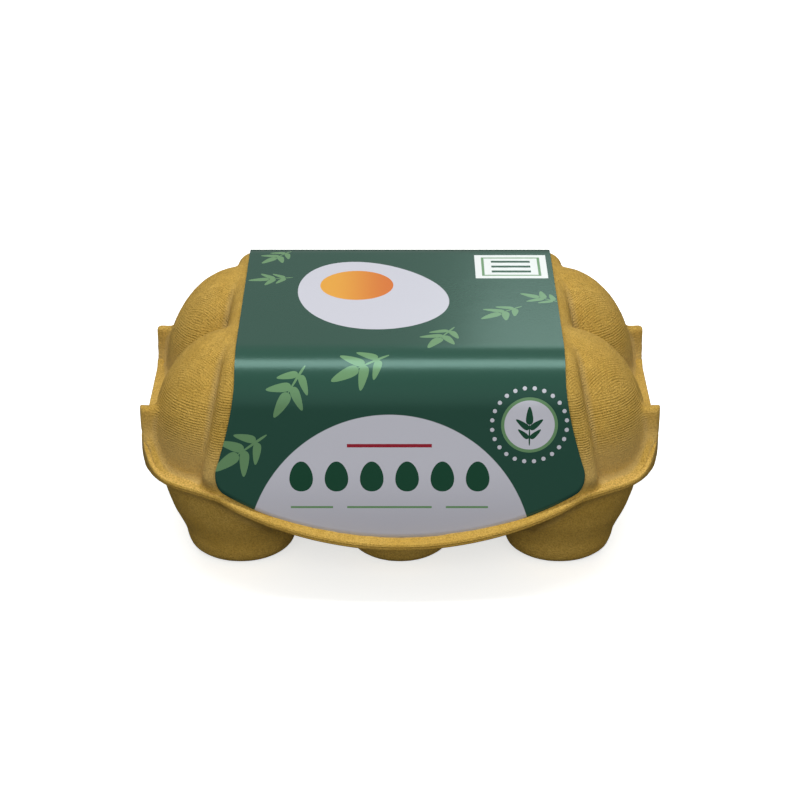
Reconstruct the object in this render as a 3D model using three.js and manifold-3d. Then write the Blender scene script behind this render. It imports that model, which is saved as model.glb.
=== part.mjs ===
// A shut six-egg box of moulded paper pulp, in two rows of three cups, with a paper label over its lid.
// Millimetres, +Z up, front towards -Y, origin on the table below the middle of the box.
import * as THREE from 'three';
import { mergeVertices } from 'three/addons/utils/BufferGeometryUtils.js';
import Module from 'manifold-3d';

// Rim in plan: straight ends, corners struck as arcs, shoulders given as points, and a bowed front and back
const RIM_HALF_LENGTH = 75.9;
const RIM_END_Y = [10, 19];
const RIM_CORNER_X = 48.4;
const RIM_CORNER_Y = 24.9;
const RIM_CORNER_RADIUS = 27.6;
const RIM_CORNER_DEGREES = 63;
const RIM_CORNER_STEPS = 7;
const RIM_SHOULDER = [[56.2, 52.6], [51.8, 55.4], [46, 57.6]];
const RIM_BOW = [[37, 2.3], [25, 1], [12.5, 0.2]];
const RIM_FRONT_Y = -61.5;
const RIM_BACK_Y = 61.5;

// Rim in height: high along the ends, lower at the corners, and dipping in a smile at the front
const RIM_SIDE_Z = 36.5;
const RIM_CORNER_Z = 31.5;
const RIM_FRONT_Z = 19.3;
const RIM_FRONT_CURVE = 0.0045;
const RIM_CENTRE_Z = 28;
const END_FADES_Y = [25, 37];
const FRONT_FADES_Y = [44, 54];
const GAP = 0.3;

// Lid: raised middle panel
const LID_TOP_Z = 69.2;
const PANEL_FLAT_HALF = 35.2;
const PANEL_FOLD_RADIUS = 15.2;
const PANEL_LEAN = THREE.MathUtils.degToRad(11.6);
const PANEL_FOLD_STEPS = 9;
const PANEL_HALF_WIDTH = 50.8;
const PANEL_EDGE_RADIUS = 5.2;
const PANEL_EDGE_STEPS = 5;
const PANEL_SIDE_FLARE = Math.tan(THREE.MathUtils.degToRad(11.4));

// Lid: one dome over each corner egg
const DOME_X = 48.4;
const DOME_Y = 24.0;
const DOME_RADIUS_X = 24.3;
const DOME_RADIUS_Y = 24.0;
const DOME_FOOT_Z = 32;
const DOME_SPRING_Z = 36;
const DOME_TOP_Z = 68.7;
const DOME_SIDES = 40;
const DOME_ARC_STEPS = 10;

// Lid: an upright rib beside each dome, seen from the end of the box
const RIB_Y = 29.4;
const RIB_INNER_X = 58;
const RIB_OVERLAP = 2;
const RIB_SECTION = [[1, 47.7], [1.2, 44.5], [1.8, 41.2], [3.2, 38.2], [5.4, 35.8], [8.4, 33.4], [9, 31]];

// Lid: the flange around it, as its lip's thickness and the inset and rise of each ring above the lip
const LID_LIP = 1.2;
const SKIRT_RINGS = [[0, 0], [3, 0.4], [6, 1]];
const SKIRT_TOP_Z = 37;

// Tray: cup outline from the foot up, as radius and height
const CUP_PROFILE = [
  [9.4, 0], [12.7, 0.7], [14.8, 2.4], [15.7, 5], [16.3, 8], [17.6, 11], [19.5, 15], [21.4, 21], [22.8, 28],
];
const CUP_SIDES = 32;
const CUP_Y = 24.9;
const CUP_BURIED_HEIGHT = 6;
const END_CUP_X = 47.2;
const END_CUP_STRETCH = 1.03;

// Tray: the wall around its cups, as the share of the way to the middle and the drop of each ring
const TRAY_WALL_INSET = 15;
const TRAY_WALL_FOOT_Z = 14;
const TRAY_WALL_RINGS = [[0.075, 3], [0.06, 1], [0.008, 1], [0.008, 0]];

// Label: printed paper, glued over the panel's back, top and front
const LABEL_THICKNESS = 0.5;
const LABEL_HALF_WIDTH = 46.7;
const LABEL_FLARE_FROM_Z = 64;
const LABEL_FLARE = 0.045;
const LABEL_FLARE_POWER = 1.5;
const LABEL_CORNER_X = 50.7;
const LABEL_CORNER_RADIUS = 5;
const LABEL_CORNER_STEPS = 5;
const LABEL_BACK_Z = 36;
const LABEL_ABOVE_RIM = 0.7;
const LABEL_EDGE_STEPS = 12;
const LABEL_SIDE_STEPS = 6;

// Blocks that cut or fill run this far past what they work on
const OVERRUN = 5;

const wasm = await Module();
wasm.setup();
const { Manifold, Mesh } = wasm;

function toSolid(geometry) {
  const bare = geometry.index ? geometry.clone() : geometry;
  bare.deleteAttribute('normal');
  bare.deleteAttribute('uv');
  const merged = mergeVertices(bare, 1e-5);
  return new Manifold(new Mesh({
    numProp: 3,
    vertProperties: new Float32Array(merged.attributes.position.array),
    triVerts: new Uint32Array(merged.index.array),
  }));
}

function toGeometry(solid) {
  const mesh = solid.getMesh();
  const geometry = new THREE.BufferGeometry();
  geometry.setAttribute('position', new THREE.BufferAttribute(new Float32Array(mesh.vertProperties), 3));
  geometry.setIndex(new THREE.BufferAttribute(new Uint32Array(mesh.triVerts), 1));
  return geometry;
}

// A closed body through a stack of rings with equal point counts, the first lowest, each turning
// anticlockwise seen from above, and closed by a fan to a middle point at either end.
function ringSolid(rings, bottomPoint, topPoint) {
  const count = rings[0].length;
  const points = [...rings.flat(), bottomPoint, topPoint];
  const bottom = rings.length * count;
  const top = bottom + 1;
  const faces = [];
  for (let i = 0; i < count; i++) {
    const j = (i + 1) % count;
    faces.push(bottom, j, i);
    for (let level = 0; level + 1 < rings.length; level++) {
      const low = level * count;
      const high = low + count;
      faces.push(low + i, low + j, high + j, low + i, high + j, high + i);
    }
    const last = (rings.length - 1) * count;
    faces.push(last + i, last + j, top);
  }
  const geometry = new THREE.BufferGeometry();
  geometry.setAttribute('position', new THREE.Float32BufferAttribute(points.flat(), 3));
  geometry.setIndex(faces);
  return toSolid(geometry);
}

// A prism of an outline given in the plane across one axis, running along that axis
function prismAlongX(outline, halfLength) {
  const shape = new THREE.Shape(outline.map(([y, z]) => new THREE.Vector2(y, z)));
  const geometry = new THREE.ExtrudeGeometry(shape, { depth: 2 * halfLength, bevelEnabled: false });
  geometry.translate(0, 0, -halfLength);
  geometry.applyMatrix4(new THREE.Matrix4().makeBasis(
    new THREE.Vector3(0, 1, 0), new THREE.Vector3(0, 0, 1), new THREE.Vector3(1, 0, 0)));
  return toSolid(geometry);
}

function prismAlongY(outline, fromY, toY) {
  const shape = new THREE.Shape(outline.map(([x, z]) => new THREE.Vector2(x, z)));
  const geometry = new THREE.ExtrudeGeometry(shape, { depth: toY - fromY, bevelEnabled: false });
  geometry.rotateX(Math.PI / 2);
  geometry.translate(0, toY, 0);
  return toSolid(geometry);
}

function arc(centreX, centreY, radius, fromDegrees, toDegrees, steps) {
  const points = [];
  for (let i = 0; i <= steps; i++) {
    const angle = THREE.MathUtils.degToRad(fromDegrees + (toDegrees - fromDegrees) * i / steps);
    points.push([centreX + radius * Math.cos(angle), centreY + radius * Math.sin(angle)]);
  }
  return points;
}

// The right-hand quarter of the rim outline that ends in the middle of the front or back
function rimQuarter(middleY) {
  const end = RIM_END_Y.map(y => [RIM_HALF_LENGTH, y]);
  const corner = arc(RIM_CORNER_X, RIM_CORNER_Y, RIM_CORNER_RADIUS, 0, RIM_CORNER_DEGREES, RIM_CORNER_STEPS);
  const bow = RIM_BOW.map(([x, inset]) => [x, Math.abs(middleY) - inset]);
  return [...end, ...corner, ...RIM_SHOULDER, ...bow]
    .map(([x, y]) => [Math.min(x, RIM_HALF_LENGTH), Math.sign(middleY) * y]);
}

function rimOutline() {
  const backRight = rimQuarter(RIM_BACK_Y);
  const frontRight = rimQuarter(RIM_FRONT_Y);
  const mirrored = quarter => quarter.map(([x, y]) => [-x, y]);
  return [
    [RIM_HALF_LENGTH, 0], ...backRight, [0, RIM_BACK_Y], ...mirrored(backRight).reverse(),
    [-RIM_HALF_LENGTH, 0], ...mirrored(frontRight), [0, RIM_FRONT_Y], ...frontRight.reverse(),
  ];
}

// How far a place on the rim belongs to the front edge: 0 on the ends and corners, 1 along the front
function frontShare(y) {
  return THREE.MathUtils.smoothstep(-y, ...FRONT_FADES_Y);
}

// Height of the rim's top edge
function rimHeight(x, y) {
  const corner = THREE.MathUtils.smoothstep(Math.abs(y), ...END_FADES_Y);
  const smile = Math.min(RIM_CORNER_Z, RIM_FRONT_Z + RIM_FRONT_CURVE * x * x);
  const level = THREE.MathUtils.lerp(RIM_SIDE_Z, RIM_CORNER_Z, corner);
  return THREE.MathUtils.lerp(level, smile, frontShare(y));
}

const RIM = rimOutline();

// The rim outline drawn in towards the middle by a distance, at its own height plus a rise,
// which fades out along the front, where the rim stays flat
function rimRing(inset, rise) {
  return RIM.map(([x, y]) => {
    const scaleX = 1 - inset / RIM_HALF_LENGTH;
    const scaleY = 1 - inset / Math.abs(RIM_FRONT_Y);
    return [x * scaleX, y * scaleY, rimHeight(x, y) + rise * (1 - frontShare(y))];
  });
}

// The surface where lid and tray meet runs straight from the rim to one middle point. This gives a ring on
// it, drawn in by a share of the way to the middle.
function partingRing(share, drop) {
  return RIM.map(([x, y]) => {
    const edge = rimHeight(x, y) - LID_LIP;
    return [x * (1 - share), y * (1 - share), THREE.MathUtils.lerp(edge, RIM_CENTRE_Z, share) - drop];
  });
}

// Cross-section of the middle panel seen from the end, grown outwards by a distance
function panelSection(growth) {
  const radius = PANEL_FOLD_RADIUS + growth;
  const foldZ = LID_TOP_Z - PANEL_FOLD_RADIUS;
  const lean = THREE.MathUtils.radToDeg(PANEL_LEAN);
  const front = arc(-PANEL_FLAT_HALF, foldZ, radius, 90, 180 - lean, PANEL_FOLD_STEPS);
  const [endY, endZ] = front[front.length - 1];
  front.push([endY - endZ * Math.tan(PANEL_LEAN), 0]);
  const back = front.map(([y, z]) => [-y, z]).reverse();
  return [...front, ...back].reverse();
}

// Outline of the middle panel seen from the front: rounded top edges and sides that flare downwards
function panelFront() {
  const centreX = PANEL_HALF_WIDTH - PANEL_EDGE_RADIUS;
  const centreZ = LID_TOP_Z - PANEL_EDGE_RADIUS;
  const right = arc(centreX, centreZ, PANEL_EDGE_RADIUS, 0, 90, PANEL_EDGE_STEPS);
  right.unshift([PANEL_HALF_WIDTH + centreZ * PANEL_SIDE_FLARE, 0]);
  return [...right, ...right.map(([x, z]) => [-x, z]).reverse()];
}

function domeSolid(x, y) {
  const profile = [new THREE.Vector2(0, DOME_FOOT_Z), new THREE.Vector2(DOME_RADIUS_X, DOME_FOOT_Z)];
  for (let i = 0; i <= DOME_ARC_STEPS; i++) {
    const angle = Math.PI / 2 * i / DOME_ARC_STEPS;
    const radius = i === DOME_ARC_STEPS ? 0 : DOME_RADIUS_X * Math.cos(angle);
    profile.push(new THREE.Vector2(radius, DOME_SPRING_Z + (DOME_TOP_Z - DOME_SPRING_Z) * Math.sin(angle)));
  }
  const geometry = new THREE.LatheGeometry(profile, DOME_SIDES);
  geometry.rotateX(Math.PI / 2);
  geometry.scale(1, DOME_RADIUS_Y / DOME_RADIUS_X, 1);
  geometry.translate(x, y, 0);
  return toSolid(geometry);
}

// Rib section seen from the end of the box: a thin top and a hollow-curved spread at either foot
function ribSolid(signX, signY) {
  const outline = [...RIB_SECTION, ...RIB_SECTION.map(([y, z]) => [-y, z]).reverse()];
  const placed = outline.map(([y, z]) => [signY * RIB_Y + y, z]).reverse();
  const length = RIM_HALF_LENGTH + RIB_OVERLAP - RIB_INNER_X;
  return prismAlongX(placed, length / 2).translate([signX * (RIB_INNER_X + length / 2), 0, 0]);
}

function cupSolid(x, y, stretch) {
  const profile = [new THREE.Vector2(0, 0), ...CUP_PROFILE.map(([r, z]) => new THREE.Vector2(r, z))];
  const [topRadius, topZ] = CUP_PROFILE[CUP_PROFILE.length - 1];
  const buriedZ = topZ + CUP_BURIED_HEIGHT;
  profile.push(new THREE.Vector2(topRadius, buriedZ), new THREE.Vector2(0, buriedZ));
  const geometry = new THREE.LatheGeometry(profile, CUP_SIDES);
  geometry.rotateX(Math.PI / 2);
  geometry.scale(stretch, 1, 1);
  geometry.translate(x, y, 0);
  return toSolid(geometry);
}

function makeLid() {
  const middle = [0, 0, RIM_CENTRE_Z];
  const roofZ = LID_TOP_Z + OVERRUN;
  const room = ringSolid([partingRing(0, 0), RIM.map(([x, y]) => [x, y, roofZ])], middle, [0, 0, roofZ]);
  const panelDepth = prismAlongY(panelFront(), RIM_FRONT_Y - OVERRUN, RIM_BACK_Y + OVERRUN);
  let raised = prismAlongX(panelSection(0), RIM_HALF_LENGTH).intersect(panelDepth);
  for (const x of [-1, 1]) {
    for (const y of [-1, 1]) {
      raised = raised.add(domeSolid(x * DOME_X, y * DOME_Y)).add(ribSolid(x, y));
    }
  }
  const skirtRings = SKIRT_RINGS.map(([inset, rise]) => rimRing(inset, rise));
  const skirt = ringSolid([partingRing(0, 0), ...skirtRings], middle, [0, 0, SKIRT_TOP_Z]);
  return room.intersect(raised).add(skirt);
}

function makeTray() {
  const middle = [0, 0, RIM_CENTRE_Z - GAP];
  const floor = RIM.map(([x, y]) => [x, y, -OVERRUN]);
  const room = ringSolid([floor, partingRing(0, GAP)], [0, 0, -OVERRUN], middle);
  let cups = null;
  for (const x of [-END_CUP_X, 0, END_CUP_X]) {
    for (const y of [-CUP_Y, CUP_Y]) {
      const cup = cupSolid(x, y, x === 0 ? 1 : END_CUP_STRETCH);
      cups = cups ? cups.add(cup) : cup;
    }
  }
  const wallFoot = rimRing(TRAY_WALL_INSET, 0).map(([x, y]) => [x, y, TRAY_WALL_FOOT_Z]);
  const wallRings = TRAY_WALL_RINGS.map(([share, drop]) => partingRing(share, GAP + drop));
  const wall = ringSolid([wallFoot, ...wallRings], [0, 0, TRAY_WALL_FOOT_Z], middle);
  return room.intersect(cups).add(wall);
}

// Outline of the label's front or back half seen from the front, with its bottom edge following the rim
function labelOutline(bottomHeight) {
  const flare = z => LABEL_FLARE * Math.max(0, LABEL_FLARE_FROM_Z - z) ** LABEL_FLARE_POWER;
  const halfAt = z => LABEL_HALF_WIDTH + flare(z);
  const cornerZ = bottomHeight(LABEL_CORNER_X) + LABEL_CORNER_RADIUS;
  const cornerX = halfAt(cornerZ) - LABEL_CORNER_RADIUS;
  const right = arc(cornerX, cornerZ, LABEL_CORNER_RADIUS, -65, 0, LABEL_CORNER_STEPS);
  const edge = [];
  for (let i = 0; i < LABEL_EDGE_STEPS; i++) {
    const x = right[0][0] * i / LABEL_EDGE_STEPS;
    edge.push([x, bottomHeight(x)]);
  }
  for (let i = 1; i <= LABEL_SIDE_STEPS; i++) {
    const z = THREE.MathUtils.lerp(cornerZ, LABEL_FLARE_FROM_Z, i / LABEL_SIDE_STEPS);
    right.push([halfAt(z), z]);
  }
  right.push([LABEL_HALF_WIDTH, LID_TOP_Z + OVERRUN]);
  const half = [...edge, ...right];
  return [...half, ...half.slice(1).map(([x, z]) => [-x, z]).reverse()];
}

function makeLabel() {
  const outside = prismAlongX(panelSection(GAP + LABEL_THICKNESS), RIM_HALF_LENGTH);
  const inside = prismAlongX(panelSection(GAP), RIM_HALF_LENGTH + OVERRUN);
  const front = labelOutline(x => RIM_FRONT_Z + RIM_FRONT_CURVE * x * x + LABEL_ABOVE_RIM);
  const back = labelOutline(() => LABEL_BACK_Z);
  const frontHalf = prismAlongY(front, RIM_FRONT_Y - OVERRUN, 0);
  const backHalf = prismAlongY(back, 0, RIM_BACK_Y + OVERRUN);
  const shape = frontHalf.add(backHalf);
  return outside.subtract(inside).intersect(shape);
}

const pulp = { color: 0xd2a648, roughness: 0.95, metalness: 0 };
const box = new THREE.Group();

function addPiece(name, solid, finish) {
  const piece = new THREE.Mesh(toGeometry(solid), new THREE.MeshStandardMaterial(finish));
  piece.name = name;
  box.add(piece);
}

addPiece('tray', makeTray(), pulp);
addPiece('lid', makeLid(), pulp);
addPiece('label', makeLabel(), { color: 0x33503f, roughness: 0.3, metalness: 0 });

export default box;
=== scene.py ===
import math

import bmesh
import bpy
import numpy as np
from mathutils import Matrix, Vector, noise
from mathutils.bvhtree import BVHTree


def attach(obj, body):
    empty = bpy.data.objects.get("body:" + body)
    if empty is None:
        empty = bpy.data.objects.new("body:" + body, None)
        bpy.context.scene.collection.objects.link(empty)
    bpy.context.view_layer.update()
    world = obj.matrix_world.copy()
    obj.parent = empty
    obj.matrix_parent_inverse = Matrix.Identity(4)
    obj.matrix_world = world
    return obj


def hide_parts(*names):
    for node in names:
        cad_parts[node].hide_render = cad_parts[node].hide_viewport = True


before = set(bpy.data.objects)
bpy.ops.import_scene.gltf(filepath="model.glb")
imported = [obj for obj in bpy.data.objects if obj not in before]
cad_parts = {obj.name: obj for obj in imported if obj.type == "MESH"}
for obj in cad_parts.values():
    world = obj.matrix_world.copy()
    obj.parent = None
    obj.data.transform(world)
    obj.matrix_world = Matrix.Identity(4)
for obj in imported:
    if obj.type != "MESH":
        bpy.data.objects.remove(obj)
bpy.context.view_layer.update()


# Tray: the lower half of the box, six tapering cups joined by a wall that ends in a thin flange.
# It is sucked from wet paper pulp onto a wire mould and dried, so every edge is soft.
# Sizes are in millimetres throughout, and each mesh is scaled to metres at the end.
MM = 0.001
RIM_HALF_LENGTH = 75.9
RIM_HALF_WIDTH = 61.5
RIM_CORNER = (48.4, 24.9)
RIM_CORNER_RADIUS = 27.6
RIM_SHOULDER = [(56.2, 52.6), (51.8, 55.4), (46, 57.6), (37, 59.2), (25, 60.5), (12.5, 61.3), (0, 61.5)]
RIM_STRAIGHT_Y = range(0, 24, 4)
RIM_ARC_TURNS = range(0, 64, 7)
RIM_SEGMENTS = 288
RIM_SIDE_Z = 36.5
RIM_CORNER_Z = 31.5
RIM_FRONT_Z = 19.3
RIM_FRONT_CURVE = 0.0045
CORNER_FROM_Y = 25
CORNER_TO_Y = 37
FRONT_FROM_Y = 44
FRONT_TO_Y = 54
MEETING_CENTRE_Z = 28
LID_LIP = 1.2
GAP = 0.3

CUP_PROFILE = [
    (0, 0), (9.4, 0), (12.7, 0.7), (14.8, 2.4), (15.7, 5), (16.3, 8), (17.6, 11), (19.5, 15), (21.4, 21),
    (22.8, 28), (22.8, 34), (0, 34),
]
CUP_Y = 24.9
END_CUP_X = 47.2
END_CUP_STRETCH = 1.03
CUP_SEGMENTS = 72
CUP_UNDER_RIM = 1
WALL_FOOT_INSET = 15
WALL_FOOT_Z = 14

# Rings of the wall and the lip, each as the share of the radius by which it is drawn in, and its drop
WALL_RINGS = [(0.075, 3.8), (0.06, 2.1), (0.035, 1.35), (0.02, 1.1), (0.018, 0.15)]
TRAY_LIP_RINGS = [
    (0.035, 0.25), (0.024, 0), (0.015, 0), (0.0115, 0.1), (0.01, 0.35), (0.01, 0.6), (0.0115, 0.85),
    (0.016, 1.0), (0.035, 1.6),
]
TRAY_VOXEL = 0.76

# How the skin is softened: the lip that keeps its shape, how far one pass moves a point, and the slow waves
# that are left in it, each as waves to a millimetre and their height
LIP_WIDTH = 3.0
LIP_LAID = 1.6
LIP_REACH = 0.6
EASE = 0.5
SKIN_WAVES = [(0.09, 0.16), (0.37, 0.05)]
FEET_FLAT_TO_Z = 1
FEET_ROUGH_FROM_Z = 4
HOLLOW_SPREAD = 6
HOLLOW_UNIT = 0.02


def smooth_step(value, low, high):
    """0 below low, 1 above high, and an even curve between."""
    share = np.clip((np.asarray(value, float) - low) / (high - low), 0, 1)
    return share * share * (3 - 2 * share)


def mix(a, b, share):
    return a + (b - a) * share


rim_arc = [
    (RIM_CORNER[0] + RIM_CORNER_RADIUS * math.cos(math.radians(turn)),
     RIM_CORNER[1] + RIM_CORNER_RADIUS * math.sin(math.radians(turn)))
    for turn in RIM_ARC_TURNS
]
RIM_QUARTER = [(RIM_HALF_LENGTH, y) for y in RIM_STRAIGHT_Y] + rim_arc + RIM_SHOULDER
QUARTER_X = np.minimum([x for x, y in RIM_QUARTER], RIM_HALF_LENGTH)
QUARTER_Y = np.array([y for x, y in RIM_QUARTER])


def rim_radius(angle):
    """Distance from the middle of the box to its rim in a direction seen from above."""
    folded = np.arctan2(np.abs(np.sin(angle)), np.abs(np.cos(angle)))
    turns = np.arctan2(QUARTER_Y, QUARTER_X)
    return np.hypot(np.interp(folded, turns, QUARTER_X), np.interp(folded, turns, QUARTER_Y))


def rim_height(x, y):
    """Height of the rim's top edge: high at the ends, lower at the corners, and dipping along the front."""
    front = smooth_step(-y, FRONT_FROM_Y, FRONT_TO_Y)
    level = mix(RIM_SIDE_Z, RIM_CORNER_Z, smooth_step(np.abs(y), CORNER_FROM_Y, CORNER_TO_Y))
    smile = np.minimum(RIM_CORNER_Z, RIM_FRONT_Z + RIM_FRONT_CURVE * x * x)
    return mix(level, smile, front)


def meeting_height(x, y):
    """Height of the surface where lid and tray meet, straight from the rim to one middle point."""
    angle = np.arctan2(y, x)
    radius = rim_radius(angle)
    share = 1 - np.minimum(np.hypot(x, y) / radius, 1)
    edge = rim_height(radius * np.cos(angle), radius * np.sin(angle)) - LID_LIP
    return mix(edge, MEETING_CENTRE_Z, share)


RIM_ANGLES = np.linspace(-math.pi, math.pi, RIM_SEGMENTS, endpoint=False)
RIM_X = rim_radius(RIM_ANGLES) * np.cos(RIM_ANGLES)
RIM_Y = rim_radius(RIM_ANGLES) * np.sin(RIM_ANGLES)
RIM_Z = rim_height(RIM_X, RIM_Y)


def meeting_ring(share, drop):
    """The rim drawn in by a share of its radius, on or below the surface where lid and tray meet."""
    height = mix(RIM_Z - LID_LIP, MEETING_CENTRE_Z, share) - drop
    return np.column_stack([RIM_X * (1 - share), RIM_Y * (1 - share), height])


def rim_ring(inset, rise, front_rise):
    """The rim drawn in by a distance and lifted, with a lift of its own along the front."""
    shrink_x = 1 - inset / RIM_HALF_LENGTH
    shrink_y = 1 - inset / RIM_HALF_WIDTH
    lift = mix(rise, front_rise, smooth_step(-RIM_Y, FRONT_FROM_Y, FRONT_TO_Y))
    return np.column_stack([RIM_X * shrink_x, RIM_Y * shrink_y, RIM_Z + lift])


def draw_rings(bm, ring, edges, rings):
    """Lays a circle on the first ring, then draws its edge out to each next ring."""
    for number, points in enumerate(rings):
        if number:
            made = bmesh.ops.extrude_edge_only(bm, edges=edges)["geom"]
            ring = {part for part in made if isinstance(part, bmesh.types.BMVert)}
            edges = [part for part in made if isinstance(part, bmesh.types.BMEdge)]
            edges = [edge for edge in edges if ring.issuperset(edge.verts)]
        verts = sorted(ring, key=lambda vert: math.atan2(vert.co.y, vert.co.x) % math.tau)
        turned = sorted(points.tolist(), key=lambda point: math.atan2(point[1], point[0]) % math.tau)
        for vert, point in zip(verts, turned):
            vert.co = point
    return edges


def add_ring_body(bm, rings, low_centre, high_centre):
    """A closed body drawn upwards ring by ring, with a centre point in either cap."""
    circle = bmesh.ops.create_circle(bm, cap_ends=True, segments=RIM_SEGMENTS, radius=1)["verts"]
    low_cap = circle[0].link_faces[0]
    edges = draw_rings(bm, circle, list(low_cap.edges), rings)
    high_cap = bmesh.ops.contextual_create(bm, geom=edges)["faces"][0]
    for cap, height in ((low_cap, low_centre), (high_cap, high_centre)):
        centre = bmesh.ops.poke(bm, faces=[cap])["verts"][0]
        centre.co = (0, 0, height)
    bmesh.ops.recalc_face_normals(bm, faces=bm.faces)
    return BVHTree.FromBMesh(bm)


def add_lip(piece, rings):
    """The lip's outermost band, drawn ring by ring round its section so that its edge runs true."""
    bm = bmesh.new()
    circle = bmesh.ops.create_circle(bm, segments=RIM_SEGMENTS, radius=1)["verts"]
    first = list({edge for vert in circle for edge in vert.link_edges})
    last = draw_rings(bm, circle, first, rings)
    bmesh.ops.bridge_loops(bm, edges=first + last)
    bmesh.ops.recalc_face_normals(bm, faces=bm.faces)
    bmesh.ops.scale(bm, verts=bm.verts, vec=(MM, MM, MM))
    for face in bm.faces:
        face.smooth = True
    bm.from_mesh(piece.data)
    bm.to_mesh(piece.data)
    bm.free()


def add_spun(bm, profile):
    """A closed body turned about the vertical axis from (radius, height) points."""
    verts = [bm.verts.new((radius, 0, height)) for radius, height in profile]
    edges = [bm.edges.new(pair) for pair in zip(verts, verts[1:])]
    made = bmesh.ops.spin(
        bm, geom=verts + edges, axis=(0, 0, 1), cent=(0, 0, 0), angle=math.tau, steps=CUP_SEGMENTS,
        use_merge=True)
    whole = set()
    reach = [vert for vert in verts if vert.is_valid]
    for part in made["geom_last"]:
        reach.extend(part.verts if isinstance(part, bmesh.types.BMEdge) else [part])
    while reach:
        vert = reach.pop()
        if vert not in whole:
            whole.add(vert)
            reach.extend(edge.other_vert(vert) for edge in vert.link_edges)
    return list(whole)


def mesh_object(name, bm):
    """The finished mesh, its normals outwards, scaled to metres and put in the scene."""
    bmesh.ops.remove_doubles(bm, verts=bm.verts, dist=1e-4)
    bmesh.ops.recalc_face_normals(bm, faces=bm.faces)
    bmesh.ops.scale(bm, verts=bm.verts, vec=(MM, MM, MM))
    mesh = bpy.data.meshes.new(name)
    bm.to_mesh(mesh)
    bm.free()
    piece = bpy.data.objects.new(name, mesh)
    bpy.context.scene.collection.objects.link(piece)
    return piece


def fuse(piece, voxel):
    """The overlapping solids become one skin."""
    skin = piece.modifiers.new("skin", "REMESH")
    skin.mode = "VOXEL"
    skin.voxel_size = voxel * MM
    skin.use_smooth_shade = True
    graph = bpy.context.evaluated_depsgraph_get()
    fused = bpy.data.meshes.new_from_object(piece.evaluated_get(graph))
    piece.modifiers.clear()
    piece.data = fused


def soften(piece, lip, passes, hollow_passes):
    """Rounds everything a little and fills the hollows into coves, as pulp has no sharp edge. The thin lip
    along the rim is laid back onto its own shape. How hollow each place is stays on the mesh."""
    mesh = piece.data
    count = len(mesh.vertices)
    points = np.empty(count * 3)
    mesh.vertices.foreach_get("co", points)
    points = points.reshape(-1, 3) / MM
    ends = np.empty(len(mesh.edges) * 2, int)
    mesh.edges.foreach_get("vertices", ends)
    ends = ends.reshape(-1, 2)
    degree = np.bincount(ends.ravel(), minlength=count)[:, None]

    def around(values):
        total = np.column_stack([
            np.bincount(ends[:, 0], column[ends[:, 1]], count)
            + np.bincount(ends[:, 1], column[ends[:, 0]], count)
            for column in values.T
        ])
        return total / degree

    def normals():
        mesh.vertices.foreach_set("co", (points * MM).ravel())
        mesh.update()
        found = np.empty(count * 3)
        mesh.vertices.foreach_get("normal", found)
        return found.reshape(-1, 3)

    angle = np.arctan2(points[:, 1], points[:, 0])
    from_rim = rim_radius(angle) - np.hypot(points[:, 0], points[:, 1])
    inner = smooth_step(from_rim, 0, LIP_WIDTH)[:, None]
    for step in range(passes):
        points = points + EASE * (around(points) - points) * (1 if step < 2 else inner)
    facing = normals()
    for step in range(hollow_passes):
        if step % 4 == 0:
            facing = normals()
        pull = around(points) - points
        outward = (pull * facing).sum(1, keepdims=True)
        points = points + EASE * pull * inner * (outward > 0)
    facing = normals()
    hollow = ((around(points) - points) * facing).sum(1, keepdims=True)
    for step in range(HOLLOW_SPREAD):
        hollow = around(hollow)
    rough = np.array([
        sum(noise.noise(Vector(point * waves)) * rise for waves, rise in SKIN_WAVES) for point in points
    ])[:, None]
    off_feet = smooth_step(points[:, 2:3], FEET_FLAT_TO_Z, FEET_ROUGH_FROM_Z)
    points = points + facing * rough * off_feet * inner
    for index in np.nonzero(from_rim < LIP_LAID)[0]:
        nearest, *_, distance = lip.find_nearest(Vector(points[index]))
        if distance < LIP_REACH:
            points[index] = nearest
    normals()
    field = mesh.attributes.new("hollow", "FLOAT", "POINT")
    field.data.foreach_set("value", (hollow / HOLLOW_UNIT).ravel())


bm = bmesh.new()
wall_foot = rim_ring(WALL_FOOT_INSET, 0, 0)
wall_foot[:, 2] = WALL_FOOT_Z
tray_lip = add_ring_body(
    bm, [wall_foot] + [meeting_ring(share, GAP + drop) for share, drop in WALL_RINGS],
    WALL_FOOT_Z, MEETING_CENTRE_Z - GAP)
for cup_x in (-END_CUP_X, 0, END_CUP_X):
    for cup_y in (-CUP_Y, CUP_Y):
        cup = add_spun(bm, CUP_PROFILE)
        for vert in cup:
            vert.co.x = vert.co.x * (END_CUP_STRETCH if cup_x else 1) + cup_x
            vert.co.y += cup_y
            vert.co.z = min(vert.co.z, float(meeting_height(vert.co.x, vert.co.y)) - GAP - CUP_UNDER_RIM)
tray = mesh_object("tray_moulding", bm)
fuse(tray, TRAY_VOXEL)
soften(tray, tray_lip, passes=4, hollow_passes=10)
add_lip(tray, [meeting_ring(share, GAP + drop) for share, drop in TRAY_LIP_RINGS])


def linear(hex_colour):
    """An sRGB hex colour as linear red, green, blue and alpha."""
    parts = [int(hex_colour[i:i + 2], 16) / 255 for i in (1, 3, 5)]
    return [c / 12.92 if c <= 0.04045 else ((c + 0.055) / 1.055) ** 2.4 for c in parts] + [1]


def add_node(tree, kind, links=None, **settings):
    """A node of this kind. links sets its inputs, each from a socket or to a value."""
    made = tree.nodes.new("ShaderNode" + kind)
    for name, value in settings.items():
        setattr(made, name, value)
    for name, value in (links or {}).items():
        socket = made.inputs[name]
        if isinstance(value, bpy.types.NodeSocket):
            tree.links.new(value, socket)
        else:
            socket.default_value = value
    return made


def new_material(name):
    """An empty node material and its tree."""
    material = bpy.data.materials.new(name)
    material.use_nodes = True
    material.node_tree.nodes.clear()
    return material, material.node_tree


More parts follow.
